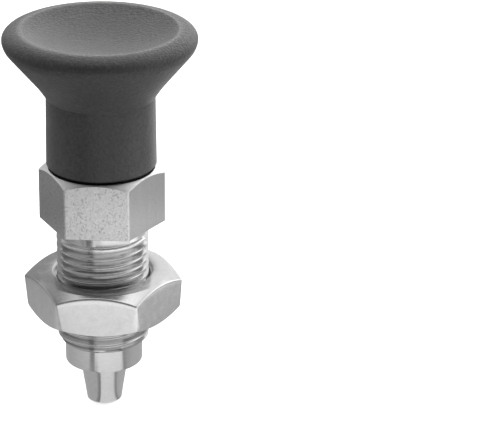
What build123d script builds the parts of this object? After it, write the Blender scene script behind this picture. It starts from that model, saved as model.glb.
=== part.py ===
"""Indexing plunger with a mushroom knob, a hexagonal guide body and a lock nut.

Six pieces on one vertical axis. The origin is where that axis meets the underside of the hexagon,
the face that seats on the machine. +Z points to the knob and the tapered pin points down.
All sizes are in millimetres.
"""
from build123d import *
from math import cos, pi, radians, sin, sqrt, tan
import os

os.makedirs("parts", exist_ok=True)

# Guide body: hexagon, relief, thread and nose, turned from one bar
hex_across_flats = 19.0
hex_height = 10.0
hex_face_margin = 0.25  # from the flats in to the edge of the flat top face
chamfer_angle = 30.0  # turned chamfer on the corners of the hexagon and of the nut
relief_depth = 0.4
relief_height = 2.05
thread_diameter = 16.0
thread_pitch = 1.5
thread_depth_share = 0.613  # of the pitch, from crest to root
shank_length = 26.5  # from the hexagon's underside to the end of the nose
nose_length = 4.1
nose_wall = 0.85  # metal round the bush
nose_edge_radius = 0.3
roof_thickness = 3.5  # metal above the spring
edge_break = 0.25  # small chamfer on bore mouths and turned edges

# Guide bush, pressed into the nose
bush_length = 6.0
bush_shoulder = 0.7  # width of the step that the bush is pressed against
bush_mouth_chamfer = 0.45

# Indexing pin: tapered tip, guide, collar and rod in one piece
pin_diameter = 8.0
pin_reach = 8.0  # from the nose to the tip, with the pin fully out
taper_length = 6.5
tip_diameter = 6.0
tip_chamfer = 0.3
collar_height = 2.0
collar_clearance = 0.3  # on radius, in the spring's bore
rod_diameter = 6.0
rod_end_chamfer = 0.5
groove_depth = 0.4  # retaining groove near the rod's end, filled by the knob's moulding
groove_length = 2.0
groove_setback = 2.5  # from the rod's end to the groove
running_clearance = 0.03  # on radius: pin in bush, rod in roof

# Compression spring, closed and ground at both ends
wire_diameter = 1.1
wire_sides = 8  # flats that stand for the round wire
active_turns = 7.5
coil_rod_clearance = 0.65  # on radius
coil_bore_clearance = 0.45  # on radius
closed_gap = 0.08  # between an end turn and the next one
ground_share = 0.4  # part of the wire's diameter that is ground off at its very end

# Lock nut, cold formed: the chamfer on its top steepens towards the corners
nut_across_flats = 24.0
nut_height = 7.85
nut_drop = 9.55  # from the hexagon's underside down to the nut
nut_top_margin = 0.55  # from the flats in to the edge of the flat top face
nut_corner_drop = 1.6  # from the flat top face down to the corners
nut_bottom_margin = 1.0
nut_thread_clearance = 0.05  # on radius
countersink_depth = 0.75  # 45 degrees, at both mouths

# Knob: one moulding
knob_gap = 0.4  # from the hexagon up to the knob, with the pin fully out
knob_height = 24.4
neck_draft = 0.15  # on radius, narrower towards the flare
neck_edge_chamfer = 0.4
flare_angle = 39.6  # from the axis
flare_blend_drop = 0.47  # the flare eases into the neck from this far below the corner of the two lines
flare_blend_rise = 2.7  # to this far above it
rim_diameter = 33.1
rim_radius = 3.0  # of the round between the flare and the widest ring
crown_height = 1.7  # from the widest ring to the top
crown_width = 2.9  # from the widest ring in to where the crown is level
lip_width = 0.3  # flat ring between the crown and the dish
lip_radius = 0.35
dish_depth = 3.0
rod_cover = 3.5  # moulding between the rod's end and the middle of the dish

corner_overshoot = 0.5  # how far past the corners a cut on them reaches

# Radii that follow from them
thread_radius = thread_diameter / 2
thread_root_radius = thread_radius - thread_depth_share * thread_pitch
relief_radius = thread_radius - relief_depth
rod_radius = rod_diameter / 2
coil_radius = rod_radius + coil_rod_clearance + wire_diameter / 2
spring_bore_radius = coil_radius + wire_diameter / 2 + coil_bore_clearance
collar_radius = spring_bore_radius - collar_clearance
bush_radius = spring_bore_radius + bush_shoulder
nose_radius = bush_radius + nose_wall
neck_bottom_radius = hex_across_flats / 2
neck_top_radius = neck_bottom_radius - neck_draft

# Heights that follow from them
nose_end = -shank_length
nose_top = nose_end + nose_length
bush_top = nose_end + bush_length
collar_top = bush_top + collar_height
roof_underside = hex_height - roof_thickness
nut_top = -nut_drop
nut_bottom = nut_top - nut_height
knob_bottom = hex_height + knob_gap
knob_top = knob_bottom + knob_height
dish_bottom = knob_top - dish_depth
rod_end = dish_bottom - rod_cover
tip_end = nose_end - pin_reach


def chamfer_profile(across_flats, face_margin, face_height, upward):
    """Section of what a turned chamfer takes off a hexagon's corners.

    upward is 1 on a top face and -1 on an underside.
    """
    flat_radius = across_flats / 2 - face_margin
    clear_radius = across_flats / 2 / cos(radians(30)) + corner_overshoot
    clear_drop = (clear_radius - flat_radius) * tan(radians(chamfer_angle))
    with BuildSketch(Plane.XZ) as profile:
        with BuildLine():
            Polyline(
                (flat_radius, face_height),
                (clear_radius, face_height),
                (clear_radius, face_height - upward * clear_drop),
                close=True,
            )
        make_face()
    return profile.sketch


# Guide body
with BuildPart() as guide_body:
    with BuildSketch():
        RegularPolygon(hex_across_flats / 2, 6, major_radius=False)
    extrude(amount=hex_height)
    revolve(chamfer_profile(hex_across_flats, hex_face_margin, hex_height, 1), Axis.Z, mode=Mode.SUBTRACT)
    with BuildSketch(Plane.XZ):
        with BuildLine():
            Polyline(
                (0, hex_height / 2),
                (relief_radius, hex_height / 2),
                (relief_radius, -relief_height),
                (thread_radius, -relief_height - relief_depth),
                (thread_radius, nose_top + thread_radius - thread_root_radius),
                (thread_root_radius, nose_top),
                (nose_radius, nose_top),
                (nose_radius, nose_end),
                (0, nose_end),
                close=True,
            )
        make_face()
    revolve(axis=Axis.Z)
    fillet(guide_body.edges().filter_by(GeomType.CIRCLE).sort_by(Axis.Z)[0], nose_edge_radius)
    with BuildSketch(Plane.XZ):
        with BuildLine():
            Polyline(
                (0, nose_end),
                (bush_radius + edge_break, nose_end),
                (bush_radius, nose_end + edge_break),
                (bush_radius, bush_top),
                (spring_bore_radius, bush_top),
                (spring_bore_radius, roof_underside),
                (rod_radius + running_clearance, roof_underside),
                (rod_radius + running_clearance, hex_height - edge_break),
                (rod_radius + running_clearance + edge_break, hex_height),
                (0, hex_height),
                close=True,
            )
        make_face()
    revolve(axis=Axis.Z, mode=Mode.SUBTRACT)
guide_body.part.label = "guide_body"
export_step(guide_body.part, "parts/guide_body.step")

# Guide bush
with BuildPart() as guide_bush:
    bush_bore_radius = pin_diameter / 2 + running_clearance
    with BuildSketch(Plane.XZ):
        with BuildLine():
            Polyline(
                (bush_bore_radius + bush_mouth_chamfer, nose_end),
                (bush_radius - edge_break, nose_end),
                (bush_radius, nose_end + edge_break),
                (bush_radius, bush_top),
                (bush_bore_radius, bush_top),
                (bush_bore_radius, nose_end + bush_mouth_chamfer),
                close=True,
            )
        make_face()
    revolve(axis=Axis.Z)
guide_bush.part.label = "guide_bush"
export_step(guide_bush.part, "parts/guide_bush.step")

# Indexing pin
with BuildPart() as indexing_pin:
    taper_slope = (pin_diameter - tip_diameter) / 2 / taper_length
    groove_top = rod_end - groove_setback
    groove_bottom = groove_top - groove_length
    with BuildSketch(Plane.XZ):
        with BuildLine():
            Polyline(
                (0, tip_end),
                (tip_diameter / 2 - tip_chamfer, tip_end),
                (tip_diameter / 2 + taper_slope * tip_chamfer, tip_end + tip_chamfer),
                (pin_diameter / 2, tip_end + taper_length),
                (pin_diameter / 2, bush_top),
                (collar_radius, bush_top),
                (collar_radius, collar_top),
                (rod_radius, collar_top),
                (rod_radius, groove_bottom),
                (rod_radius - groove_depth, groove_bottom),
                (rod_radius - groove_depth, groove_top),
                (rod_radius, groove_top),
                (rod_radius, rod_end - rod_end_chamfer),
                (rod_radius - rod_end_chamfer, rod_end),
                (0, rod_end),
                close=True,
            )
        make_face()
    revolve(axis=Axis.Z)
indexing_pin.part.label = "indexing_pin"
export_step(indexing_pin.part, "parts/indexing_pin.step")

# Compression spring, one swept stretch for each closed end turn and one for the active turns between them
with BuildPart() as compression_spring:
    closed_pitch = wire_diameter + closed_gap
    wire_inset = wire_diameter * (0.5 - ground_share)
    first_turn_start = collar_top + wire_inset
    last_turn_start = roof_underside - wire_inset - closed_pitch
    active_start = first_turn_start + closed_pitch
    active_height = last_turn_start - active_start
    stretches = (
        (first_turn_start, closed_pitch, closed_pitch, 0),
        (active_start, active_height, active_height / active_turns, 0),
        (last_turn_start, closed_pitch, closed_pitch, 360 * active_turns),
    )
    equal_area_radius = wire_diameter / 2 * sqrt(pi / (wire_sides / 2 * sin(2 * pi / wire_sides)))
    for start_height, rise, pitch, start_angle in stretches:
        start_plane = Plane.XY.offset(start_height).rotated((0, 0, start_angle))
        with BuildLine(start_plane) as coil:
            Helix(pitch, rise, coil_radius)
        # The section lies in a plane through the axis, so that one stretch's end is the next one's start
        with BuildSketch(Plane(origin=coil.line @ 0, x_dir=start_plane.x_dir, z_dir=start_plane.y_dir)):
            RegularPolygon(equal_area_radius, wire_sides)
        sweep(path=coil.line, is_frenet=True)
    split(bisect_by=Plane.XY.offset(roof_underside), keep=Keep.BOTTOM)
    split(bisect_by=Plane.XY.offset(collar_top), keep=Keep.TOP)
compression_spring.part.label = "compression_spring"
export_step(compression_spring.part, "parts/compression_spring.step")

# Lock nut
with BuildPart() as lock_nut:
    nut_bore_radius = thread_radius + nut_thread_clearance
    with BuildSketch(Plane.XY.offset(nut_bottom)):
        RegularPolygon(nut_across_flats / 2, 6, major_radius=False)
    extrude(amount=nut_height)
    revolve(chamfer_profile(nut_across_flats, nut_bottom_margin, nut_bottom, -1), Axis.Z, mode=Mode.SUBTRACT)
    with BuildSketch(Plane.XZ):
        with BuildLine():
            flat_edge = (nut_across_flats / 2 - nut_top_margin, nut_top)
            corner = (nut_across_flats / 2 / cos(radians(30)), nut_top - nut_corner_drop)
            chamfer_start = (cos(radians(chamfer_angle)), -sin(radians(chamfer_angle)))
            fall = TangentArc(flat_edge, corner, tangent=chamfer_start)
            clear_point = fall @ 1 + (fall % 1) * corner_overshoot
            Polyline(corner, clear_point, (clear_point.X, nut_top), flat_edge)
        make_face()
    revolve(axis=Axis.Z, mode=Mode.SUBTRACT)
    with BuildSketch(Plane.XZ):
        with BuildLine():
            Polyline(
                (0, nut_bottom),
                (nut_bore_radius + countersink_depth, nut_bottom),
                (nut_bore_radius, nut_bottom + countersink_depth),
                (nut_bore_radius, nut_top - countersink_depth),
                (nut_bore_radius + countersink_depth, nut_top),
                (0, nut_top),
                close=True,
            )
        make_face()
    revolve(axis=Axis.Z, mode=Mode.SUBTRACT)
lock_nut.part.label = "lock_nut"
export_step(lock_nut.part, "parts/lock_nut.step")

# Knob, moulded round the end of the rod
with BuildPart() as knob:
    flare_run = sin(radians(flare_angle))
    flare_climb = cos(radians(flare_angle))
    widest_ring = (rim_diameter / 2, knob_top - crown_height)
    crown_centre = (rim_diameter / 2 - crown_width, widest_ring[1])
    flare_top = (
        widest_ring[0] - rim_radius * (1 - flare_climb),
        widest_ring[1] - rim_radius * flare_run,
    )
    corner_height = flare_top[1] - (flare_top[0] - neck_top_radius) / tan(radians(flare_angle))
    neck_top = (neck_top_radius, corner_height - flare_blend_drop)
    flare_bottom = (
        neck_top_radius + flare_blend_rise * tan(radians(flare_angle)),
        corner_height + flare_blend_rise,
    )
    dish_edge = (crown_centre[0] - lip_width, knob_top)
    with BuildSketch(Plane.XZ):
        with BuildLine():
            Polyline(
                (0, dish_bottom),
                (0, knob_bottom),
                (neck_bottom_radius - neck_edge_chamfer, knob_bottom),
                (neck_bottom_radius, knob_bottom + neck_edge_chamfer),
                neck_top,
            )
            TangentArc(flare_bottom, neck_top, tangent=(-flare_run, -flare_climb))
            Line(flare_bottom, flare_top)
            TangentArc(flare_top, widest_ring, tangent=(flare_run, flare_climb))
            EllipticalCenterArc(crown_centre, crown_width, crown_height, arc_size=90)
            Line((crown_centre[0], knob_top), dish_edge)
            TangentArc((0, dish_bottom), dish_edge, tangent=(1, 0))
        make_face()
    revolve(axis=Axis.Z)
    crown_circles = knob.edges().filter_by_position(Axis.Z, knob_top, knob_top)
    fillet(crown_circles.sort_by(SortBy.RADIUS)[0], lip_radius)
    add(indexing_pin.part, mode=Mode.SUBTRACT)
knob.part.label = "knob"
export_step(knob.part, "parts/knob.step")
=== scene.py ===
"""Looks of the indexing plunger: detailed meshes in place of the plain CAD solids, materials, light, camera.

Sizes are in millimetres, as in the CAD source, and become metres where a mesh is made.
"""

from math import acos, atan2, cos, exp, hypot, pi, radians, sin, sqrt, tan

import bmesh
import bpy
import numpy as np
from mathutils import Matrix, Vector


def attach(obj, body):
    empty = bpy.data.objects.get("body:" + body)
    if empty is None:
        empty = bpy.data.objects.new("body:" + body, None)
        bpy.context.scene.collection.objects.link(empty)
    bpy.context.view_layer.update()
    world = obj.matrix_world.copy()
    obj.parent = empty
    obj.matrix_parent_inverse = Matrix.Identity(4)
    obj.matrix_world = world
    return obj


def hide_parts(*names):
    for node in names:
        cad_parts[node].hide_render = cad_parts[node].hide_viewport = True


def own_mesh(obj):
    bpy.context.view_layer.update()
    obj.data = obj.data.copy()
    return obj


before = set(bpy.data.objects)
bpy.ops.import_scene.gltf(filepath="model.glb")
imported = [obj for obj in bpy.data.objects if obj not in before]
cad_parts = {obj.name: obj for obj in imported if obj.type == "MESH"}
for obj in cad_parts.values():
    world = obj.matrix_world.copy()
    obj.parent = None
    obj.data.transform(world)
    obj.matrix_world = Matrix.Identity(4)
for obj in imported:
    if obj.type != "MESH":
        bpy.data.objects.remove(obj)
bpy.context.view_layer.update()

MM = 0.001

# Guide body
hex_across_flats = 19.0
hex_height = 10.0
hex_face_margin = 0.25  # from the flats in to the edge of the flat top face
hex_corner_radius = 0.4
hex_edge_rounding = 0.1
chamfer_angle = radians(30)
relief_depth = 0.4
relief_height = 2.05
thread_radius = 8.0
thread_pitch = 1.5
thread_depth = 0.613 * thread_pitch
thread_runout = 0.9  # axial length over which the groove fades into the relief
shank_length = 26.5
nose_length = 4.1
nose_radius = 6.75
nose_edge_radius = 0.3
roof_thickness = 3.5
edge_break = 0.25

# Guide bush, pin and spring
bush_length = 6.0
bush_radius = 5.9
bush_mouth_chamfer = 0.45
spring_bore_radius = 5.2
pin_radius = 4.0
pin_reach = 8.0
taper_length = 6.5
tip_radius = 3.0
tip_chamfer = 0.3
collar_radius = 4.9
collar_height = 2.0
rod_radius = 3.0
rod_end_chamfer = 0.5
groove_depth = 0.4
groove_length = 2.0
groove_setback = 2.5
running_clearance = 0.03
wire_radius = 0.55
coil_radius = 4.2
active_turns = 7.5
closed_pitch = 1.18
ground_share = 0.4

# Lock nut
nut_across_flats = 24.0
nut_height = 7.85
nut_drop = 9.55
nut_top_margin = 0.55
nut_corner_drop = 1.6
nut_bottom_margin = 1.0
nut_bore_radius = 8.05
countersink_depth = 0.75
countersink_break = 0.05
# A cold-formed nut's corners are sharp at its top and unevenly full at its foot, the first of them on the X axis
nut_top_corner_radius = 0.35
nut_foot_corner_radii = np.array((2.2, 2.0, 2.0, 3.5, 1.9, 1.5))
nut_column_radii = (nut_top_corner_radius, 1.0, 2.0)  # corners that the mesh has columns close together for
nut_top_rounding = 0.5  # of the edges between its top and its sides
nut_foot_rounding = 0.15

# Knob
knob_gap = 0.4
knob_height = 24.4
neck_draft = 0.15
neck_edge_chamfer = 0.4
flare_angle = radians(39.6)
flare_blend_drop = 0.47
flare_blend_rise = 2.7
rim_diameter = 33.1
rim_radius = 3.0
crown_height = 1.7
crown_width = 2.9
lip_width = 0.3
lip_radius = 0.35
dish_depth = 3.0
rod_cover = 3.5
parting_bead = 0.028  # how far the mould's parting line stands out
parting_bead_width = 0.22
parting_drop = 0.5  # of the parting line below the widest ring

# Heights that follow
nose_end = -shank_length
nose_top = nose_end + nose_length
bush_top = nose_end + bush_length
collar_top = bush_top + collar_height
roof_underside = hex_height - roof_thickness
nut_top = -nut_drop
nut_bottom = nut_top - nut_height
knob_bottom = hex_height + knob_gap
knob_top = knob_bottom + knob_height
dish_bottom = knob_top - dish_depth
lip_middle = rim_diameter / 2 - crown_width - lip_width / 2
rod_end = dish_bottom - rod_cover
tip_end = nose_end - pin_reach

# Where surfaces change, each pair in millimetres from the change's start to its end
groove_shade_upper_end = (-3.4, -3.0)  # height at which the painted shade in the thread's grooves ends
groove_shade_lower_end = (nose_top, nose_top + 0.2)
groove_radii = (thread_radius - 0.75, thread_radius - 0.1)
smoother_side = (5.2, 5.8)  # X beyond which the hexagon's facets have fewer pits
smoother_pit_share = 0.35
cap_sheen_heights = (20.0, 31.0)
cap_grain_heights = (26.0, 33.0)
neck_grain_share = 0.25
# Painted shade on the band round the knob's rim
shaded_band_heights = (32.2, 32.8)
shaded_band_radii = (13.9, 14.5)
shaded_band_share = 0.72  # of the plastic's grey that is left in the band round the rim, as painted shade
lip_highlight_reach = (0.15, 0.6)  # of the lip's painted highlight, from the middle of the lip
lip_highlight_heights = (knob_top - 0.5, knob_top - 0.3)
lip_highlight_gain = 0.45

# Mesh fineness
lathe_columns = 288
hex_columns = 240
corner_columns = 7
edge_steps = 5
nut_side_rows = 9
blend_steps = 12
rim_steps = 28
crown_steps = 25
lip_steps = 6
dish_rows = 40
dish_start_share = 0.97  # of the lip's radius, where the dish's rows start inside the lip's rounding
wire_columns = 20
steps_a_turn = 72


# Meshes


def make_piece(name, points, faces, smooth_below=radians(28)):
    """Mesh object from points in millimetres, closed up where points coincide."""
    mesh = bpy.data.meshes.new(name)
    mesh.from_pydata([tuple(p) for p in np.asarray(points) * MM], [], faces)
    work = cleaned_bmesh(mesh)
    work.to_mesh(mesh)
    work.free()
    mesh.polygons.foreach_set("use_smooth", [True] * len(mesh.polygons))
    mesh.set_sharp_from_angle(angle=smooth_below)
    piece = bpy.data.objects.new(name, mesh)
    bpy.context.scene.collection.objects.link(piece)
    return piece


def cleaned_bmesh(mesh):
    """Bmesh of a mesh with coinciding points merged, empty faces dropped and normals facing out."""
    work = bmesh.new()
    work.from_mesh(mesh)
    bmesh.ops.remove_doubles(work, verts=work.verts, dist=2e-7)
    bmesh.ops.dissolve_degenerate(work, edges=work.edges, dist=2e-7)
    bmesh.ops.recalc_face_normals(work, faces=work.faces)
    return work


def grid_faces(row_count, columns, closed, thread_rows=None, rows_a_turn=0):
    """Quads of a grid of rows that run round the axis.

    Inside thread_rows a row is one turn of a helix, so its last column meets a row one turn earlier.
    """
    def partner(row):
        if thread_rows and thread_rows[0] <= row <= thread_rows[1]:
            return max(row - rows_a_turn, thread_rows[0])
        return row

    faces = []
    for row in range(row_count if closed else row_count - 1):
        below = (row + 1) % row_count
        for column in range(columns - 1):
            faces.append((row * columns + column, row * columns + column + 1,
                          below * columns + column + 1, below * columns + column))
        faces.append((row * columns + columns - 1, partner(row) * columns,
                      partner(below) * columns, below * columns + columns - 1))
    return faces


def rings_to_points(rings, angles):
    """Points of a list of (radius, height) rows, each a number or an array with one entry an angle."""
    points = []
    for radius, height in rings:
        radius = np.broadcast_to(radius, angles.shape)
        height = np.broadcast_to(height, angles.shape)
        points.append(np.stack([radius * np.cos(angles), radius * np.sin(angles), height], axis=1))
    return np.concatenate(points)


def rounded(corners, closed):
    """Profile of (radius, height) points from (radius, height, rounding) corners."""
    profile = []
    count = len(corners)
    for index, (r, z, rounding) in enumerate(corners):
        at_end = not closed and index in (0, count - 1)
        if rounding == 0 or at_end:
            profile.append((r, z))
            continue
        here = Vector((r, z))
        back = Vector(corners[index - 1][:2]) - here
        ahead = Vector(corners[(index + 1) % count][:2]) - here
        half = acos(max(-1, min(1, back.normalized().dot(ahead.normalized())))) / 2
        reach = rounding / tan(half)
        start = here + back.normalized() * reach
        centre = here + (back.normalized() + ahead.normalized()).normalized() * (rounding / sin(half))
        end = here + ahead.normalized() * reach
        for step in range(edge_steps):
            chord = start.lerp(end, step / (edge_steps - 1)) - centre
            profile.append(tuple(centre + chord.normalized() * rounding))
    return profile


def arc_through(start, end, tangent):
    """Centre and turn of the arc that leaves start along tangent and ends at end."""
    along = Vector(tangent).normalized()
    chord = Vector(end) - Vector(start)
    turn = 2 * atan2(along.cross(chord), along.dot(chord))
    radius = chord.length / 2 / sin(turn / 2)
    return Vector(start) + Vector((-along.y, along.x)) * radius, turn


def tangent_arc(start, end, tangent, steps):
    """Points after start, up to end, of the arc that leaves start along tangent."""
    centre, turn = arc_through(start, end, tangent)
    points = []
    for step in range(1, steps + 1):
        spoke = Vector(start) - centre
        spoke.rotate(Matrix.Rotation(turn * step / steps, 2))
        points.append(tuple(centre + spoke))
    return points


def lathe(name, profile, closed=False):
    """Piece turned from a profile. An open profile starts and ends on the axis."""
    angles = np.linspace(0, 2 * pi, lathe_columns, endpoint=False)
    points = rings_to_points(profile, angles)
    return make_piece(name, points, grid_faces(len(profile), lathe_columns, closed))


def corner_half_width(apothem, rounding):
    """Half the angle that a hexagon's rounded corner takes up, seen from the axis."""
    centre = (apothem - rounding) / cos(pi / 6)
    return np.arctan2(rounding / 2, centre + rounding * cos(pi / 6))


def hex_angles(apothem, roundings):
    """Angles round a hexagon with corners on the X axis, closer together over corners of each rounding."""
    angles = set(np.round(np.linspace(0, 2 * pi, hex_columns, endpoint=False), 5))
    for rounding in roundings:
        half_width = corner_half_width(apothem, rounding)
        for corner in range(6):
            for step in np.linspace(-half_width, half_width, corner_columns):
                angles.add(round(float((corner * pi / 3 + step) % (2 * pi)), 5))
    return np.array(sorted(angles))


def hex_radius(angles, apothem, roundings):
    """Radius of a hexagon at each angle, with one rounding for all its corners or one for each."""
    corner = np.round(angles / (pi / 3)).astype(int)
    rounding = np.broadcast_to(roundings, 6)[corner % 6]
    off_corner = angles - corner * pi / 3
    centre = (apothem - rounding) / cos(pi / 6)
    flat = apothem / np.cos(pi / 6 - np.abs(off_corner))
    inside = np.maximum(rounding ** 2 - (centre * np.sin(off_corner)) ** 2, 0)
    round_part = centre * np.cos(off_corner) + np.sqrt(inside)
    return np.where(np.abs(off_corner) < corner_half_width(apothem, rounding), round_part, flat)


def rolled_edge(outline, rounding, centre_height, tilt, upward):
    """Rows over the rounded edge from a surface that tilts from level by tilt to upright sides."""
    rows = []
    for share in np.linspace(0, 1, edge_steps):
        angle = tilt + (pi / 2 - tilt) * share
        rows.append((outline - rounding * (1 - np.sin(angle)), centre_height + upward * rounding * np.cos(angle)))
    return rows


def chamfered_face(outline, face_radius, face_height, rounding, upward):
    """Rows from a hexagon's flat face over its turned chamfer to the start of its sides."""
    drop = (outline - rounding - face_radius) * tan(chamfer_angle) + rounding / cos(chamfer_angle)
    centre_height = face_height - upward * drop
    edge = rolled_edge(outline, rounding, centre_height, chamfer_angle, upward)
    return [(face_radius, face_height)] + edge


def formed_face(outline, face_radius, face_height, corner, rounding):
    """Rows from the nut's flat top over its chamfer, which steepens towards the corners, to its sides."""
    start = (cos(chamfer_angle), -sin(chamfer_angle))
    centre, turn = arc_through((face_radius, face_height), corner, start)
    reach = (Vector(corner) - centre).length
    inner = outline - rounding - centre.x
    centre_height = centre.y + np.sqrt((reach - rounding) ** 2 - inner ** 2)
    tilt = np.arctan2(inner, centre_height - centre.y)
    edge = rolled_edge(outline, rounding, centre_height, tilt, 1)
    rows = []
    for share in np.linspace(0, 1, edge_steps)[:-1]:
        radius = face_radius * (1 - share) + edge[0][0] * share
        rows.append((radius, centre.y + np.sqrt(reach ** 2 - (radius - centre.x) ** 2)))
    return rows + edge


# One turn of the rolled thread: (share of the pitch, share of the depth), from the crest's upper edge down.
# Rolling leaves a shallow seam along the middle of the crest.
thread_section = (
    (0.00, 0.08),
    (0.015, 0.015),
    (0.05, 0.0),
    (0.10, 0.025),
    (0.15, 0.055),
    (0.20, 0.025),
    (0.25, 0.0),
    (0.285, 0.015),
    (0.30, 0.08),
    (0.43, 0.50),
    (0.56, 0.92),
    (0.60, 0.98),
    (0.65, 1.0),
    (0.70, 0.98),
    (0.74, 0.92),
    (0.87, 0.50),
)


def thread_rows(angles, top, bottom):
    """Helical rows of the thread between two heights, run out at the top and chamfered at the bottom."""
    per_turn = len(thread_section)
    turns = int(np.ceil((top - bottom) / thread_pitch)) + 1
    relief_radius = thread_radius - relief_depth
    rows = []
    for row in range(turns * per_turn + 1):
        share, depth = thread_section[row % per_turn]
        height = top + thread_pitch * (angles / (2 * pi) - row // per_turn - share)
        height = np.clip(height, bottom, top)
        fade = np.clip((top - height) / thread_runout, 0, 1)
        crest = np.minimum(thread_radius, relief_radius + (top - height))
        end_chamfer = thread_radius - thread_depth + (height - bottom)
        rows.append((np.minimum(crest - depth * thread_depth * fade, end_chamfer), height))
    return rows


def make_guide_body():
    """Hexagon, relief, thread, nose and bores in one closed surface."""
    apothem = hex_across_flats / 2
    angles = hex_angles(apothem, [hex_corner_radius])
    outline = hex_radius(angles, apothem, hex_corner_radius)
    relief_radius = thread_radius - relief_depth
    rod_bore = rod_radius + running_clearance
    rings = [(rod_bore, hex_height - edge_break), (rod_bore + edge_break, hex_height)]
    rings += chamfered_face(outline, apothem - hex_face_margin, hex_height, hex_edge_rounding, 1)
    rings += rolled_edge(outline, hex_edge_rounding, hex_edge_rounding, 0, -1)[::-1]
    rings.append((relief_radius, 0.0))
    first = len(rings)
    rings += thread_rows(angles, -relief_height, nose_top)
    last = len(rings) - 1
    nose = rounded([
        (thread_radius - thread_depth, nose_top, 0),
        (nose_radius, nose_top, 0.06),
        (nose_radius, nose_end, nose_edge_radius),
        (bush_radius + edge_break, nose_end, 0.05),
        (bush_radius, nose_end + edge_break, 0),
        (bush_radius, bush_top, 0),
        (spring_bore_radius, bush_top, 0),
        (spring_bore_radius, roof_underside, 0),
        (rod_bore, roof_underside, 0),
    ], closed=False)
    rings += nose[1:]
    points = rings_to_points(rings, angles)
    faces = grid_faces(len(rings), len(angles), True, (first, last), len(thread_section))
    return make_piece("threaded_body", points, faces)


def make_lock_nut():
    """Nut whose corners grow fuller from its top to its foot."""
    apothem = nut_across_flats / 2
    angles = hex_angles(apothem, nut_column_radii)
    mouth = nut_bore_radius + countersink_depth
    corner = (apothem / cos(pi / 6), nut_top - nut_corner_drop)
    top = formed_face(hex_radius(angles, apothem, nut_top_corner_radius), apothem - nut_top_margin, nut_top,
                      corner, nut_top_rounding)
    foot = chamfered_face(hex_radius(angles, apothem, nut_foot_corner_radii), apothem - nut_bottom_margin,
                          nut_bottom, nut_foot_rounding, -1)[::-1]
    ease = countersink_break
    rings = [(nut_bore_radius, nut_top - countersink_depth), (mouth - ease, nut_top - ease), (mouth + ease, nut_top)]
    rings += top
    for share in np.linspace(0, 1, nut_side_rows)[1:-1]:
        corner_radii = nut_top_corner_radius * (1 - share) + nut_foot_corner_radii * share
        height = top[-1][1] * (1 - share) + foot[0][1] * share
        rings.append((hex_radius(angles, apothem, corner_radii), height))
    rings += foot
    rings += [(mouth + ease, nut_bottom), (mouth - ease, nut_bottom + ease),
              (nut_bore_radius, nut_bottom + countersink_depth)]
    points = rings_to_points(rings, angles)
    return make_piece("thin_nut", points, grid_faces(len(rings), len(angles), True))


def make_guide_bush():
    bore = pin_radius + running_clearance
    return lathe("nose_bush", rounded([
        (bore + bush_mouth_chamfer, nose_end, 0.05),
        (bush_radius - edge_break, nose_end, 0.05),
        (bush_radius, nose_end + edge_break, 0),
        (bush_radius, bush_top, 0),
        (bore, bush_top, 0),
        (bore, nose_end + bush_mouth_chamfer, 0.05),
    ], closed=True), closed=True)


def make_pin():
    taper = (pin_radius - tip_radius) / taper_length
    groove_top = rod_end - groove_setback
    groove_bottom = groove_top - groove_length
    return lathe("tapered_pin", rounded([
        (0, tip_end, 0),
        (tip_radius - tip_chamfer, tip_end, 0.08),
        (tip_radius + taper * tip_chamfer, tip_end + tip_chamfer, 0.12),
        (pin_radius, tip_end + taper_length, 0.4),
        (pin_radius, bush_top, 0),
        (collar_radius, bush_top, 0.08),
        (collar_radius, collar_top, 0.08),
        (rod_radius, collar_top, 0),
        (rod_radius, groove_bottom, 0),
        (rod_radius - groove_depth, groove_bottom, 0),
        (rod_radius - groove_depth, groove_top, 0),
        (rod_radius, groove_top, 0),
        (rod_radius, rod_end - rod_end_chamfer, 0),
        (rod_radius - rod_end_chamfer, rod_end, 0),
        (0, rod_end, 0),
    ], closed=False))


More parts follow.
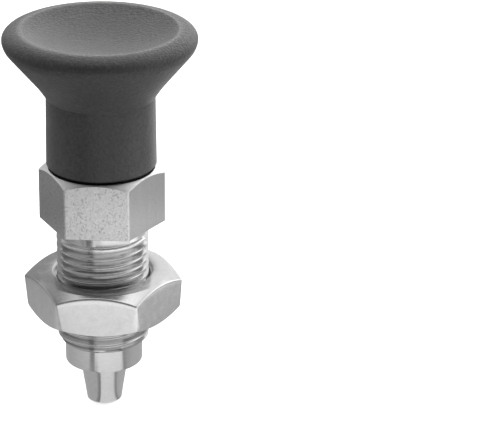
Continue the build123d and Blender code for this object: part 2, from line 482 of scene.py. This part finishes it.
def make_knob():
    """Knob with the rod's socket, as one moulding."""
    run, climb = sin(flare_angle), cos(flare_angle)
    foot = hex_across_flats / 2
    neck_radius = foot - neck_draft
    widest_ring = (rim_diameter / 2, knob_top - crown_height)
    crown_centre = (rim_diameter / 2 - crown_width, widest_ring[1])
    parting_height = widest_ring[1] - parting_drop
    flare_top = (widest_ring[0] - rim_radius * (1 - climb), widest_ring[1] - rim_radius * run)
    corner_height = flare_top[1] - (flare_top[0] - neck_radius) / tan(flare_angle)
    neck_top = (neck_radius, corner_height - flare_blend_drop)
    flare_bottom = (neck_radius + flare_blend_rise * tan(flare_angle), corner_height + flare_blend_rise)
    groove_top = rod_end - groove_setback
    groove_bottom = groove_top - groove_length
    profile = rounded([
        (0, rod_end, 0),
        (rod_radius - rod_end_chamfer, rod_end, 0),
        (rod_radius, rod_end - rod_end_chamfer, 0),
        (rod_radius, groove_top, 0),
        (rod_radius - groove_depth, groove_top, 0),
        (rod_radius - groove_depth, groove_bottom, 0),
        (rod_radius, groove_bottom, 0),
        (rod_radius, knob_bottom, 0),
        (foot - neck_edge_chamfer, knob_bottom, 0.1),
        (foot, knob_bottom + neck_edge_chamfer, 0.1),
        (*neck_top, 0),
    ], closed=False)
    # The blend leaves the flare along its line and meets the neck, so it is drawn downwards and turned round
    blend = [flare_bottom] + tangent_arc(flare_bottom, neck_top, (-run, -climb), blend_steps)
    profile += blend[-2::-1]
    profile += [tuple(Vector(flare_bottom).lerp(Vector(flare_top), share)) for share in (0.25, 0.5, 0.75, 1)]
    rim = tangent_arc(flare_top, widest_ring, (run, climb), rim_steps)
    for angle in np.linspace(0, pi / 2, crown_steps)[1:]:
        rim.append((crown_centre[0] + crown_width * cos(angle), crown_centre[1] + crown_height * sin(angle)))
    for radius, height in rim:
        off_line = (height - parting_height) / parting_bead_width
        profile.append((radius + parting_bead * exp(-off_line ** 2), height))
    lip = (crown_centre[0] - lip_width, knob_top)
    dish_turn = atan2(2 * lip[0] * dish_depth, lip[0] ** 2 - dish_depth ** 2)
    half = (pi - dish_turn) / 2
    reach = lip_radius / tan(half)
    profile.append((lip[0] + reach, knob_top))
    lip_end = (lip[0] - reach * cos(dish_turn), knob_top - reach * sin(dish_turn))
    profile += tangent_arc((lip[0] + reach, knob_top), lip_end, (-1, 0), lip_steps)
    dish_radius = (lip[0] ** 2 + dish_depth ** 2) / (2 * dish_depth)
    for share in np.linspace(dish_start_share, 0, dish_rows):
        radius = lip[0] * share
        profile.append((radius, dish_bottom + dish_radius - sqrt(dish_radius ** 2 - radius ** 2)))
    return lathe("mushroom_knob", profile)


def make_spring():
    """Round wire with closed, ground ends."""
    inset = 2 * wire_radius * (0.5 - ground_share)
    first = collar_top + inset
    last = roof_underside - inset
    active_height = last - first - 2 * closed_pitch
    total = active_turns + 2
    turns = np.linspace(0, total, int(total * steps_a_turn) + 1)
    heights = np.interp(turns, [0, 1, 1 + active_turns, total],
                        [first, first + closed_pitch, first + closed_pitch + active_height, last])
    section = np.linspace(0, 2 * pi, wire_columns, endpoint=False)
    points = []
    for turn, height in zip(turns, heights):
        radius = coil_radius + wire_radius * np.cos(section)
        z = np.clip(height + wire_radius * np.sin(section), collar_top, roof_underside)
        angle = 2 * pi * turn
        points.append(np.stack([radius * cos(angle), radius * sin(angle), z], axis=1))
    faces = grid_faces(len(turns), wire_columns, False)
    end = (len(turns) - 1) * wire_columns
    faces.append(tuple(range(wire_columns)))
    faces.append(tuple(range(end, end + wire_columns)))
    return make_piece("coil_spring", np.concatenate(points), faces, radians(50))


# Materials


def add_node(tree, kind, inputs=None, **settings):
    """New node with its settings, and its inputs joined to sockets or set to values."""
    node = tree.nodes.new(kind)
    for key, value in settings.items():
        setattr(node, key, value)
    for key, value in (inputs or {}).items():
        if isinstance(value, bpy.types.NodeSocket):
            tree.links.new(value, node.inputs[key])
        else:
            node.inputs[key].default_value = value
    return node


def math_node(tree, operation, a, b=0.0):
    return add_node(tree, "ShaderNodeMath", {0: a, 1: b}, operation=operation).outputs[0]


def remap(tree, value, low, high, to_low, to_high):
    inputs = {"Value": value, "From Min": low, "From Max": high, "To Min": to_low, "To Max": to_high}
    return add_node(tree, "ShaderNodeMapRange", inputs).outputs["Result"]


def remap_mm(tree, value, low, high, to_low=0.0, to_high=1.0):
    """remap from a range in millimetres."""
    return remap(tree, value, low * MM, high * MM, to_low, to_high)


def start_material(name, **sockets):
    """Material with a Principled shader, its tree and its place coordinates in metres."""
    material = bpy.data.materials.new(name)
    material.use_nodes = True
    tree = material.node_tree
    shader = tree.nodes["Principled BSDF"]
    for key, value in sockets.items():
        shader.inputs[key.replace("_", " ")].default_value = value
    place = add_node(tree, "ShaderNodeTexCoord").outputs["Object"]
    return material, tree, shader, place


def noise(tree, place, size, detail=3.0, roughness=0.55):
    """Noise whose features are about size millimetres across."""
    inputs = {"Vector": place, "Scale": 1 / (size * MM), "Detail": detail, "Roughness": roughness}
    return add_node(tree, "ShaderNodeTexNoise", inputs).outputs["Fac"]


def axis_distance(tree, place):
    """Distance of a place from the Z axis."""
    level = add_node(tree, "ShaderNodeVectorMath", {0: place, 1: (1, 1, 0)}, operation="MULTIPLY").outputs[0]
    return add_node(tree, "ShaderNodeVectorMath", {0: level}, operation="LENGTH").outputs["Value"]


def ring_place(tree, place, drift=0.9):
    """Coordinates that change along the axis and outwards, and hardly round it, as marks of a lathe do."""
    parts = add_node(tree, "ShaderNodeSeparateXYZ", {"Vector": place}).outputs
    radius = axis_distance(tree, place)
    safe = math_node(tree, "MAXIMUM", radius, 0.1 * MM)
    side_x = math_node(tree, "MULTIPLY", math_node(tree, "DIVIDE", parts["X"], safe), drift * MM)
    side_y = math_node(tree, "MULTIPLY", math_node(tree, "DIVIDE", parts["Y"], safe), drift * MM)
    inputs = {"X": math_node(tree, "ADD", radius, side_x), "Y": side_y, "Z": parts["Z"]}
    return add_node(tree, "ShaderNodeCombineXYZ", inputs).outputs[0]


def grey_of(tree, value):
    """Grey colour from a number that varies over the surface."""
    return add_node(tree, "ShaderNodeCombineColor", {"Red": value, "Green": value, "Blue": value}).outputs[0]


def bump(tree, height, depth, strength=1.0, before=None):
    """Bump of depth millimetres."""
    inputs = {"Height": height, "Distance": depth * MM, "Strength": strength}
    if before is not None:
        inputs["Normal"] = before
    return add_node(tree, "ShaderNodeBump", inputs).outputs["Normal"]


def lathe_turned(name, base, sheen, ring_depth=0.0022, drawn_out=0.6, groove_shade_grey=1.0, metallic=1.0):
    """Turned or ground steel: fine rings, faint cloudiness and reflections drawn out along the axis.

    sheen is the roughness. The groove grey is the share of the base colour left in the thread's grooves, as painted
    shade there.
    """
    material, tree, shader, place = start_material(name, Metallic=metallic, Anisotropic=drawn_out,
                                                   Anisotropic_Rotation=0.25)
    rings = noise(tree, ring_place(tree, place), 0.16, 4.0, 0.65)
    clouds = noise(tree, place, 2.4, 3.0)
    tone = math_node(tree, "ADD", remap(tree, rings, 0.3, 0.7, base * 0.95, base * 1.05),
                     remap(tree, clouds, 0.3, 0.7, -0.015, 0.015))
    parts = add_node(tree, "ShaderNodeSeparateXYZ", {"Vector": place}).outputs
    # painted shade: the thread's grooves between these two heights are darkened to the groove grey
    threaded = math_node(tree, "MULTIPLY", remap_mm(tree, parts["Z"], *groove_shade_upper_end, 1.0, 0.0),
                         remap_mm(tree, parts["Z"], *groove_shade_lower_end))
    in_groove = remap_mm(tree, axis_distance(tree, place), *groove_radii, 1.0, 0.0)
    groove_shade = math_node(tree, "MULTIPLY", math_node(tree, "MULTIPLY", in_groove, threaded), groove_shade_grey - 1.0)
    tone = math_node(tree, "MULTIPLY", tone, math_node(tree, "ADD", groove_shade, 1.0))
    tree.links.new(grey_of(tree, tone), shader.inputs["Base Color"])
    tree.links.new(remap(tree, rings, 0.3, 0.7, sheen * 0.8, sheen * 1.25), shader.inputs["Roughness"])
    tree.links.new(bump(tree, rings, ring_depth), shader.inputs["Normal"])
    around = add_node(tree, "ShaderNodeTangent", direction_type="RADIAL", axis="Z")
    tree.links.new(around.outputs["Tangent"], shader.inputs["Tangent"])
    return material


def speckled_flats(name, base, sheen):
    """Drawn hexagon bar: bright skin with faint upright streaks and small dark pits, fewer of them on one side."""
    material, tree, shader, place = start_material(name, Metallic=1.0)
    parts = add_node(tree, "ShaderNodeSeparateXYZ", {"Vector": place}).outputs
    pitted = remap_mm(tree, parts["X"], *smoother_side, 1.0, smoother_pit_share)
    grain = noise(tree, place, 0.26, 4.0, 0.8)
    pits = noise(tree, place, 0.36, 3.0, 0.7)
    drawn = add_node(tree, "ShaderNodeVectorMath", {0: place, 1: (1.0, 1.0, 0.06)}, operation="MULTIPLY").outputs[0]
    streaks = noise(tree, drawn, 0.9, 3.0, 0.6)
    pit_share = math_node(tree, "MULTIPLY", remap(tree, pits, 0.46, 0.34, 0.0, 1.0), pitted)
    grain_share = math_node(tree, "MULTIPLY", math_node(tree, "SUBTRACT", grain, 0.5), pitted)
    tone = math_node(tree, "ADD", math_node(tree, "MULTIPLY", grain_share, base * 0.9),
                     remap(tree, streaks, 0.3, 0.7, base * 0.97, base * 1.03))
    tone = math_node(tree, "SUBTRACT", tone, math_node(tree, "MULTIPLY", pit_share, base * 0.38))
    tree.links.new(grey_of(tree, tone), shader.inputs["Base Color"])
    tree.links.new(remap(tree, grain, 0.3, 0.7, sheen * 0.85, sheen * 1.2), shader.inputs["Roughness"])
    skin = bump(tree, grain_share, 0.012)
    dents = math_node(tree, "MULTIPLY", pit_share, -1.0)
    tree.links.new(bump(tree, dents, 0.012, 0.8, skin), shader.inputs["Normal"])
    return material


def plated(name, base, sheen):
    """Formed and plated nut: smooth, with a faint mottle."""
    material, tree, shader, place = start_material(name, Metallic=1.0)
    mottle = noise(tree, place, 1.5, 4.0, 0.6)
    grain = noise(tree, place, 0.30, 3.0, 0.7)
    tone = math_node(tree, "ADD", remap(tree, mottle, 0.3, 0.7, base * 0.94, base * 1.04),
                     remap(tree, grain, 0.3, 0.7, -0.035, 0.035))
    tree.links.new(grey_of(tree, tone), shader.inputs["Base Color"])
    tree.links.new(remap(tree, mottle, 0.3, 0.7, sheen * 0.85, sheen * 1.2), shader.inputs["Roughness"])
    tree.links.new(bump(tree, mottle, 0.006, 0.7, bump(tree, grain, 0.002)), shader.inputs["Normal"])
    return material


def moulded_plastic(name, base, cap_sheen, neck_sheen):
    """Dark moulded plastic with an eroded texture, coarse on the cap and fine on the smoother neck.

    The band round the rim is darkened as painted shade, and the lip of the dish is made paler as a painted highlight.
    """
    material, tree, shader, place = start_material(name, Specular_IOR_Level=0.3)
    height = add_node(tree, "ShaderNodeSeparateXYZ", {"Vector": place}).outputs["Z"]
    from_axis = axis_distance(tree, place)
    on_cap = remap_mm(tree, height, *cap_sheen_heights)
    grain_depth = remap_mm(tree, height, *cap_grain_heights, neck_grain_share, 1.0)
    # painted shade: the band round the rim, above these heights and outside these radii
    shaded_band = math_node(tree, "MULTIPLY", remap_mm(tree, height, *shaded_band_heights),
                     remap_mm(tree, from_axis, *shaded_band_radii))
    coarse = noise(tree, place, 0.52, 3.0, 0.75)
    fine = noise(tree, place, 0.13, 2.0)
    patches = noise(tree, place, 5.0, 3.0)
    tone = math_node(tree, "MULTIPLY", remap(tree, coarse, 0.3, 0.7, base * 0.70, base * 1.32),
                     remap(tree, patches, 0.3, 0.7, 0.94, 1.06))
    # painted highlight: the lip of the dish is made paler
    off_lip = math_node(tree, "ABSOLUTE", math_node(tree, "SUBTRACT", from_axis, lip_middle * MM))
    lip_highlight = math_node(tree, "MULTIPLY", remap_mm(tree, off_lip, *lip_highlight_reach, 1.0, 0.0),
                     remap_mm(tree, height, *lip_highlight_heights, 0.0, lip_highlight_gain))
    tone = math_node(tree, "MULTIPLY", tone, math_node(tree, "ADD", lip_highlight, 1.0))
    # the rim's band darkened as painted shade
    tone = math_node(tree, "MULTIPLY", tone, remap(tree, shaded_band, 0.0, 1.0, 1.0, shaded_band_share))
    tree.links.new(grey_of(tree, tone), shader.inputs["Base Color"])
    sheen = remap(tree, on_cap, 0.0, 1.0, neck_sheen, cap_sheen)
    tree.links.new(math_node(tree, "MULTIPLY", sheen, remap(tree, fine, 0.3, 0.7, 0.88, 1.12)),
                   shader.inputs["Roughness"])
    grain = bump(tree, math_node(tree, "MULTIPLY", coarse, grain_depth), 0.26)
    tree.links.new(bump(tree, fine, 0.008, 0.6, grain), shader.inputs["Normal"])
    return material


# Pieces on their bodies

# the thread's grooves get painted shade, 0.78 of the steel's grey
steel = lathe_turned("turned_steel", base=0.65, sheen=0.15, ring_depth=0.0012, drawn_out=0.3, groove_shade_grey=0.78)
# rougher turned finish, and a lit copy of the steel: paler and partly non-metal, as painted light for the chamfer in
# the knob's shade
lightened_matt = lathe_turned("lightened_matt_chamfer", base=0.70, sheen=0.40, ring_depth=0.004, drawn_out=0.2, metallic=0.7)
flats = speckled_flats("hexagon_flats", base=0.56, sheen=0.34)
ground = lathe_turned("ground_steel", base=0.65, sheen=0.18, ring_depth=0.0010, drawn_out=0.5)
bush_metal = lathe_turned("bush_steel", base=0.55, sheen=0.28)
wire_metal = lathe_turned("spring_steel", base=0.45, sheen=0.32)
nut_metal = plated("nut_steel", base=0.65, sheen=0.22)
plastic = moulded_plastic("knob_plastic", base=0.055, cap_sheen=0.44, neck_sheen=0.36)


def paint_hexagon(piece):
    """Gives the body its steel, and materials of their own to the hexagon's sides and its upper chamfer. The
    chamfer's is a rougher turned finish and, as painted light, a paler, partly non-metal copy of the steel, so that
    it renders lighter in the knob's shade.
    """
    for metal in (steel, flats, lightened_matt):
        piece.data.materials.append(metal)
    apothem = hex_across_flats / 2
    upright_below = 0.3  # of the normal's Z
    for face in piece.data.polygons:
        radius = hypot(face.center.x, face.center.y)
        upright = abs(face.normal.z) < upright_below
        if upright and radius > (apothem - 0.1) * MM and 0 < face.center.z < hex_height * MM:
            face.material_index = 1
        elif face.normal.z > upright_below and radius > (apothem - hex_face_margin) * MM and face.center.z > 0:
            face.material_index = 2


def place_piece(piece, metal, body, node):
    """Rides a piece on its body in place of a CAD node, and paints it unless it is painted already."""
    if metal is not None:
        piece.data.materials.append(metal)
    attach(piece, body)
    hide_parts(node)


body_piece = make_guide_body()
paint_hexagon(body_piece)
place_piece(body_piece, None, "guide", "guide_body")
place_piece(make_guide_bush(), bush_metal, "guide", "guide_bush")
spring = make_spring()
place_piece(spring, wire_metal, "guide", "compression_spring")
place_piece(make_pin(), ground, "plunger", "indexing_pin")
place_piece(make_knob(), plastic, "plunger", "knob")
place_piece(make_lock_nut(), nut_metal, "nut", "lock_nut")

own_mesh(spring)


# Camera: a pinhole fitted to the photograph's outline, in pixels of the photograph and millimetres

image_width, image_height = 503, 436
focal_pixels = 2598
sensor_width = 36.0
camera_distance = 448.5
camera_elevation = radians(22.6)
camera_roll = radians(0.75)
camera_turn = radians(5.97)  # round the axis, from the view straight on a flat's middle to the photograph's
sight_height = 5.0  # the point on the axis that the sight line runs to
sight_pixel = (101.95, 192.12)


def make_camera():
    back = Vector((0, -cos(camera_elevation), sin(camera_elevation)))
    up = Vector((0, sin(camera_elevation), cos(camera_elevation)))
    right = Vector((1, 0, 0))
    c, s = cos(camera_roll), sin(camera_roll)
    to_camera = Matrix((c * right - s * up, s * right + c * up, back))
    off_axis = Vector(((sight_pixel[0] - image_width / 2) / focal_pixels,
                       -(sight_pixel[1] - image_height / 2) / focal_pixels, -1)).normalized()
    to_camera = Vector((0, 0, -1)).rotation_difference(off_axis).to_matrix() @ to_camera
    place = Vector((0, 0, sight_height)) + camera_distance * back
    turn = Matrix.Rotation(camera_turn, 4, "Z")
    data = bpy.data.cameras.new("camera")
    data.sensor_width = sensor_width
    data.lens = focal_pixels / image_width * sensor_width
    data.clip_start = 0.01
    camera = bpy.data.objects.new("camera", data)
    camera.matrix_world = turn @ Matrix.Translation(place * MM) @ to_camera.transposed().to_4x4()
    bpy.context.scene.collection.objects.link(camera)
    bpy.context.scene.camera = camera


make_camera()


# Stage and light. Azimuths are in degrees round the axis from the camera's side, towards the picture's right.

floor_height = tip_end * MM
floor_size = 4.0
floor_paint = 0.32
floor_glow = 0.78  # to the camera and to reflections
card_height = 0.4 * MM

# Cards on the floor that reflections see. Each row has an azimuth and the greys that face the tip, the nose, the nut,
# the thread above it, the relief and the hexagon
card_greys = (
    (-180, 0.50, 0.43, 0.42, 0.22, 0.22, 0.28),
    (-145, 0.50, 0.43, 0.43, 0.22, 0.22, 0.25),
    (-132, 0.50, 0.45, 0.44, 0.22, 0.22, 0.235),
    (-113, 0.50, 0.48, 0.46, 0.26, 0.24, 0.25),
    (-106, 0.50, 0.49, 0.58, 0.28, 0.26, 0.30),
    (-60, 0.52, 0.64, 0.60, 0.42, 0.36, 0.60),
    (-44, 0.52, 0.70, 0.60, 0.16, 0.36, 0.60),
    (-40, 0.52, 0.68, 0.60, 0.02, 0.12, 0.30),
    (-36, 0.52, 0.26, 0.60, 0.0, 0.10, 0.30),
    (-29, 0.38, 0.26, 0.60, 0.0, 0.10, 0.50),
    (-26, 0.30, 0.34, 0.62, 0.0, 0.12, 0.80),
    (-24, 0.28, 0.98, 0.64, 0.35, 0.70, 0.88),
    (-19, 0.28, 1.00, 0.93, 1.50, 1.05, 0.88),
    (-15, 0.86, 1.00, 0.94, 1.60, 1.15, 0.88),
    (-7, 0.88, 1.00, 0.94, 1.55, 1.15, 0.88),
    (-3, 0.88, 1.00, 0.95, 1.55, 1.15, 1.10),
    (3, 0.90, 1.00, 1.18, 1.50, 1.20, 1.20),
    (30, 0.86, 1.00, 1.18, 1.58, 1.20, 1.20),
    (40, 0.84, 1.00, 1.42, 1.62, 1.20, 1.20),
    (46, 0.64, 1.00, 1.42, 1.65, 1.20, 1.20),
    (49, 0.45, 0.98, 1.42, 1.65, 1.20, 1.20),
    (52, 0.34, 0.34, 1.42, 1.65, 1.20, 1.20),
    (57, 0.34, 0.36, 1.42, 1.65, 1.20, 1.20),
    (62, 0.50, 0.40, 1.42, 1.65, 1.20, 1.20),
    (80, 0.55, 0.50, 1.18, 1.65, 1.20, 1.20),
    (86, 0.55, 0.52, 0.80, 1.65, 1.10, 0.80),
    (90, 0.55, 0.52, 0.54, 1.65, 0.90, 0.50),
    (97, 0.55, 0.52, 0.54, 1.40, 0.70, 0.40),
    (104, 0.55, 0.52, 0.54, 0.75, 0.50, 0.40),
    (140, 0.50, 0.52, 0.54, 0.70, 0.50, 0.40),
    (180, 0.50, 0.43, 0.43, 0.40, 0.30, 0.40),
)
# Where those greys lie: (mm from the axis, which of the greys)
card_radii = (
    (3, 0), (13, 0), (24, 1), (36, 1), (50, 2), (66, 2), (70, 3), (85, 3), (86, 4), (90.5, 4), (92, 5), (900, 5),
)

# Greys of the room above the floor by azimuth
room_greys = (
    (-180, 1.10),
    (-150, 0.85),
    (-115, 0.50),
    (-80, 0.36),
    (-50, 0.32),
    (50, 0.34),
    (85, 1.50),
    (125, 2.00),
    (180, 2.00),
)
dim_above_share = 0.55  # of those greys that is left higher up
overhead_grey = 1.50
overhead_left_grey = 0.85
# Where the room changes, as parts of a direction of length 1
dim_above = (0.35, 0.62)  # upwards, from the walls' greys to their dimmer part
overhead_above = (0.82, 0.93)  # upwards
overhead_ahead = (0.16, 0.34)  # towards the camera, where the light overhead ends
overhead_left = (-0.35, 0.0)  # towards the right, from the one overhead grey to the other

# Low upright card behind the plunger, which the nut's top reflects: (mm to the right, grey)
back_card_greys = ((-70, 0.32), (-2, 0.34), (4, 1.05), (70, 1.05))
back_card_distance = 45 * MM
back_card_heights = (-22 * MM, 26 * MM)

# Soft boxes: (name, azimuth, distance, height and size in metres, watts)
soft_boxes = (
    ("back_box", 170, 0.52, 0.29, 0.28, 3.2),
    ("right_box", 112, 0.44, 0.42, 0.25, 4.8),
    ("left_box", -118, 0.46, 0.42, 0.30, 3.2),
)


def azimuth_direction(azimuth):
    """Level direction at an azimuth."""
    angle = camera_turn - pi / 2 + radians(azimuth)
    return Vector((cos(angle), sin(angle), 0))


def stage_mesh(name, points, faces):
    """Mesh object of the stage, from points in metres."""
    mesh = bpy.data.meshes.new(name)
    mesh.from_pydata(points, [], faces)
    thing = bpy.data.objects.new(name, mesh)
    bpy.context.scene.collection.objects.link(thing)
    return thing


def make_floor():
    """Pale floor, white to the camera and to reflections, that still takes the plunger's shadow."""
    h = floor_size / 2
    floor = stage_mesh("floor", [(-h, -h, floor_height), (h, -h, floor_height), (h, h, floor_height),
                                 (-h, h, floor_height)], [(0, 1, 2, 3)])
    material = bpy.data.materials.new("floor")
    material.use_nodes = True
    tree = material.node_tree
    tree.nodes.remove(tree.nodes["Principled BSDF"])
    rays = add_node(tree, "ShaderNodeLightPath").outputs
    seen = math_node(tree, "MAXIMUM", rays["Is Camera Ray"],
                     math_node(tree, "MAXIMUM", rays["Is Glossy Ray"], rays["Is Transmission Ray"]))
    lit = add_node(tree, "ShaderNodeBsdfDiffuse", {"Color": (floor_paint, floor_paint, floor_paint, 1)})
    glow = add_node(tree, "ShaderNodeEmission", {"Strength": math_node(tree, "MULTIPLY", seen, floor_glow)})
    both = add_node(tree, "ShaderNodeAddShader", {0: lit.outputs[0], 1: glow.outputs[0]})
    tree.links.new(both.outputs[0], tree.nodes["Material Output"].inputs["Surface"])
    floor.data.materials.append(material)


def make_card(name, points, faces, greys):
    """Glowing card that only reflections see, with a grey at each point."""
    card = stage_mesh(name, points, faces)
    shade = card.data.attributes.new("card_grey", "FLOAT", "POINT")
    shade.data.foreach_set("value", greys)
    material = bpy.data.materials.new(name)
    material.use_nodes = True
    tree = material.node_tree
    tree.nodes.remove(tree.nodes["Principled BSDF"])
    grey = add_node(tree, "ShaderNodeAttribute", attribute_name="card_grey").outputs["Fac"]
    glow = add_node(tree, "ShaderNodeEmission", {"Strength": grey})
    tree.links.new(glow.outputs[0], tree.nodes["Material Output"].inputs["Surface"])
    card.data.materials.append(material)
    card.visible_camera = False
    card.visible_diffuse = False
    card.visible_transmission = False
    card.visible_shadow = False


def make_floor_cards():
    """Cards laid on the floor round the plunger."""
    table = np.array(card_greys)
    azimuths = np.arange(-180, 181, 1.0)
    points, faces, greys = [], [], []
    for azimuth in azimuths:
        direction = azimuth_direction(azimuth)
        for radius, column in card_radii:
            points.append(tuple(direction * radius * MM + Vector((0, 0, floor_height + card_height))))
            greys.append(float(np.interp(azimuth, table[:, 0], table[:, column + 1])))
    count = len(card_radii)
    for step in range(len(azimuths) - 1):
        for ring in range(count - 1):
            first = step * count + ring
            faces.append((first, first + 1, first + count + 1, first + count))
    make_card("floor_cards", points, faces, greys)


def make_back_card():
    """Card upright behind the plunger, dark on the left and pale on the right."""
    points, greys = [], []
    for height in back_card_heights:
        for offset, grey in back_card_greys:
            place = azimuth_direction(180) * back_card_distance + azimuth_direction(90) * offset * MM
            points.append((place.x, place.y, height))
            greys.append(grey)
    count = len(back_card_greys)
    faces = [(step, step + 1, step + count + 1, step + count) for step in range(count - 1)]
    make_card("back_card", points, faces, greys)


def make_lamp(name, azimuth, distance, height, size, watts):
    """Square soft box that faces the middle of the plunger. Reflections see the room's greys in its place."""
    data = bpy.data.lights.new(name, "AREA")
    data.size = size
    data.energy = watts
    lamp = bpy.data.objects.new(name, data)
    place = azimuth_direction(azimuth) * distance + Vector((0, 0, height))
    lamp.matrix_world = Matrix.Translation(place) @ place.to_track_quat("Z", "Y").to_matrix().to_4x4()
    lamp.visible_glossy = False
    bpy.context.scene.collection.objects.link(lamp)


def make_world():
    """White to the camera. For all else a room that is dark behind the camera and pale overhead."""
    world = bpy.data.worlds.new("room")
    bpy.context.scene.world = world
    world.use_nodes = True
    tree = world.node_tree
    rays = add_node(tree, "ShaderNodeLightPath").outputs
    direction = add_node(tree, "ShaderNodeTexCoord").outputs["Generated"]
    ahead = add_node(tree, "ShaderNodeVectorMath", {0: direction, 1: azimuth_direction(0)},
                     operation="DOT_PRODUCT").outputs["Value"]
    rightward = add_node(tree, "ShaderNodeVectorMath", {0: direction, 1: azimuth_direction(90)},
                         operation="DOT_PRODUCT").outputs["Value"]
    azimuth = math_node(tree, "ARCTAN2", rightward, ahead)
    share = remap(tree, azimuth, -pi, pi, 0.0, 1.0)
    ramp = add_node(tree, "ShaderNodeValToRGB", {"Fac": share})
    stops = ramp.color_ramp.elements
    stops[0].color = (room_greys[0][1],) * 3 + (1,)
    stops[-1].color = (room_greys[-1][1],) * 3 + (1,)
    for degrees, grey in room_greys[1:-1]:
        stops.new(degrees / 360 + 0.5).color = (grey, grey, grey, 1)
    height = add_node(tree, "ShaderNodeSeparateXYZ", {"Vector": direction}).outputs["Z"]
    upper = math_node(tree, "MULTIPLY", remap(tree, height, *overhead_above, 0.0, 1.0),
                      remap(tree, ahead, *overhead_ahead, 1.0, 0.0))
    walls = math_node(tree, "MULTIPLY", ramp.outputs["Color"], remap(tree, height, *dim_above, 1.0, dim_above_share))
    overhead = remap(tree, rightward, *overhead_left, overhead_left_grey, overhead_grey)
    room = add_node(tree, "ShaderNodeMix", data_type="FLOAT")
    for key, value in (("Factor", upper), ("A", walls), ("B", overhead)):
        tree.links.new(value, room.inputs[key])
    seen = math_node(tree, "MAXIMUM", rays["Is Camera Ray"], room.outputs["Result"])
    background = tree.nodes["Background"]
    background.inputs["Color"].default_value = (1, 1, 1, 1)
    tree.links.new(seen, background.inputs["Strength"])


make_floor()
make_floor_cards()
make_back_card()
for box in soft_boxes:
    make_lamp(*box)
make_world()

bpy.context.scene.view_settings.view_transform = "Standard"
